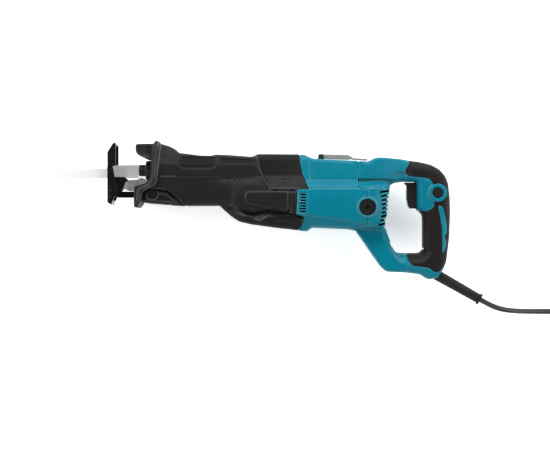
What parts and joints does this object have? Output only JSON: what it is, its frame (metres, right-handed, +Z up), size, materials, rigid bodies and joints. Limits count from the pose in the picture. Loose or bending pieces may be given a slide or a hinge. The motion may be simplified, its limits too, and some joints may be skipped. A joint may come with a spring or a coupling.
{
  "type": "reciprocating saw",
  "caption": "Corded reciprocating saw: rubber-covered gear case with pivoting shoe and clamped blade, moulded motor housing with folding hook, D-shaped rear handle with trigger.",
  "frame": {"origin": "on the bench under the middle of the saw, lying on its right side", "axes": "+X back along the tool from blade to grip, +Y towards the tool's top, +Z up from the bench to the tool's left side"},
  "size_m": [0.792, 0.2323, 0.097],
  "materials": {
    "cover_rubber": "matte moulded rubber",
    "black_plastic": "fine matte",
    "cast_alloy": "as cast, satin",
    "bright_steel": "machined",
    "housing_teal": "satin, fine grain",
    "grip_rubber": "soft matte",
    "bronze": "sintered",
    "iron": "dark laminated",
    "copper": "lacquered copper",
    "black_steel": "black oxide",
    "cord_rubber": "smooth satin",
    "plug_plastic": "moulded",
    "pin_metal": "nickel plated",
    "blade_steel": "bright satin",
    "carbon": "pressed carbon",
    "hook_steel": "zinc plated"
  },
  "bodies": {
    "saw_body": {"front_cover": "cover_rubber", "shoe_housing": "black_plastic", "gear_housing": "cast_alloy", "bearing_plate": "cast_alloy", "case_screws": "bright_steel", "motor_housing": "housing_teal", "handle_left": "housing_teal", "handle_right": "housing_teal", "grip_left": "grip_rubber", "grip_right": "grip_rubber", "handle_screws": "bright_steel", "front_bush": "bronze", "rear_bush": "bronze", "shaft_seal": "grip_rubber", "stator_core": "iron", "field_windings": "copper", "crank_bearing": "bright_steel", "bearing_bracket": "black_plastic", "front_motor_bearing": "bright_steel", "rear_motor_bearing": "bright_steel", "switch_body": "black_plastic", "cord_clamp": "black_plastic", "hook_bracket": "black_steel", "shoe_guide": "cast_alloy", "guide_screws": "bright_steel", "brush_holder_left": "bronze", "carbon_brush_left": "carbon", "brush_spring_left": "bright_steel", "brush_cap_left": "black_plastic", "brush_holder_right": "bronze", "carbon_brush_right": "carbon", "brush_spring_right": "bright_steel", "brush_cap_right": "black_plastic", "strain_relief": "cord_rubber", "cord_tube": "cord_rubber", "cord_tail": "cord_rubber", "cord_coil": "cord_rubber", "plug_body": "plug_plastic", "plug_pins": "pin_metal"},
    "rotor": {"rotor_shaft": "bright_steel", "armature_core": "iron", "armature_windings": "copper", "commutator": "copper", "cooling_fan": "black_plastic"},
    "crank": {"crank_gear": "bright_steel", "crank_pin": "bright_steel", "counterweight": "iron"},
    "slider": {"reciprocating_shaft": "bright_steel", "slider_yoke": "iron", "saw_blade": "blade_steel", "clamp_pin": "bright_steel", "sleeve_spring": "bright_steel"},
    "sleeve": {"clamp_sleeve": "black_plastic"},
    "shoe_slide": {"shoe_bracket": "black_steel", "shoe_pin": "black_steel"},
    "shoe": {"shoe_plate": "black_steel"},
    "release": {"shoe_release_button": "black_plastic"},
    "trigger_lever": {"trigger": "black_plastic"},
    "lock": {"lock_button": "black_plastic"},
    "hanging_hook": {"hook": "hook_steel"}
  },
  "joints": [
    {"name": "rotor_spin", "type": "hinge", "parent": "saw_body", "child": "rotor", "pos_m": [0.111, 0.004, 0.0485], "axis": [1, 0, 0], "continuous": true},
    {"name": "crank_spin", "type": "hinge", "parent": "saw_body", "child": "crank", "pos_m": [0.01, 0, 0.0485], "axis": [0, 1, 0], "continuous": true},
    {"name": "blade_stroke", "type": "slide", "parent": "saw_body", "child": "slider", "axis": [1, 0, 0], "range_m": [-0.014, 0.014]},
    {"name": "sleeve_twist", "type": "hinge", "parent": "slider", "child": "sleeve", "pos_m": [-0.135, 0.053, 0.0485], "axis": [1, 0, 0], "range_deg": [0, 60], "stiffness_Nm_per_rad": 0.08},
    {"name": "shoe_adjust", "type": "slide", "parent": "saw_body", "child": "shoe_slide", "axis": [-1, 0, 0], "range_m": [0, 0.03]},
    {"name": "shoe_tilt", "type": "hinge", "parent": "shoe_slide", "child": "shoe", "pos_m": [-0.18, 0.026, 0.0485], "axis": [0, 0, 1], "range_deg": [-12, 28]},
    {"name": "shoe_release_press", "type": "slide", "parent": "saw_body", "child": "release", "axis": [0, 0, -1], "range_m": [0, 0.003], "stiffness_N_per_m": 400},
    {"name": "trigger_pull", "type": "slide", "parent": "saw_body", "child": "trigger_lever", "axis": [1, 0, 0], "range_m": [0, 0.007], "stiffness_N_per_m": 600},
    {"name": "lock_press", "type": "slide", "parent": "saw_body", "child": "lock", "axis": [0, 0, -1], "range_m": [0, 0.0025], "stiffness_N_per_m": 400},
    {"name": "hook_swing", "type": "hinge", "parent": "saw_body", "child": "hanging_hook", "pos_m": [0.0925, 0.0715, 0.0485], "axis": [0, 0, 1], "range_deg": [0, 100]}
  ],
  "couplings": [
    {"joint": "crank_spin", "follows": "rotor_spin", "ratio": -0.18182}
  ]
}
